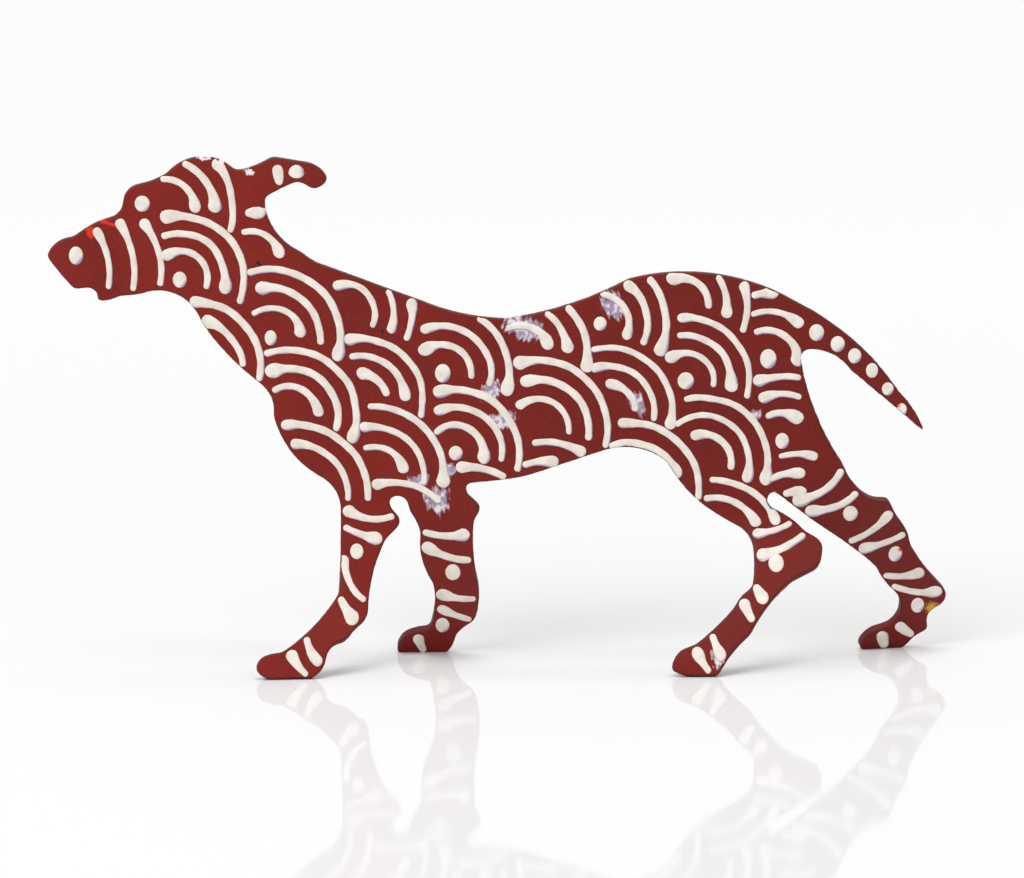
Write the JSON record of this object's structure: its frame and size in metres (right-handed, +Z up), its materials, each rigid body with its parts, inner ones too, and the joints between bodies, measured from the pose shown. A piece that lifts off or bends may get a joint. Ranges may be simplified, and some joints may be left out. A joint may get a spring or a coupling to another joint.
{
  "type": "sheet metal dog sculpture",
  "caption": "Freestanding walking dog cut from one thick steel sheet, its legs bent alternately to each side so that it stands on its feet.",
  "frame": {"origin": "on the ground, under the middle of the bounding box", "axes": "the dog walks toward -X, +Z is up, and -Y is the side of the dog that faces a viewer who sees its head to the left"},
  "size_m": [0.4003, 0.0776, 0.2287],
  "materials": {
    "painted_steel": "dark red-brown satin paint with raised cream strokes and dots, worn to grey steel along the arrises"
  },
  "bodies": {
    "root": {"dog_plate": "painted_steel"}
  },
  "joints": []
}
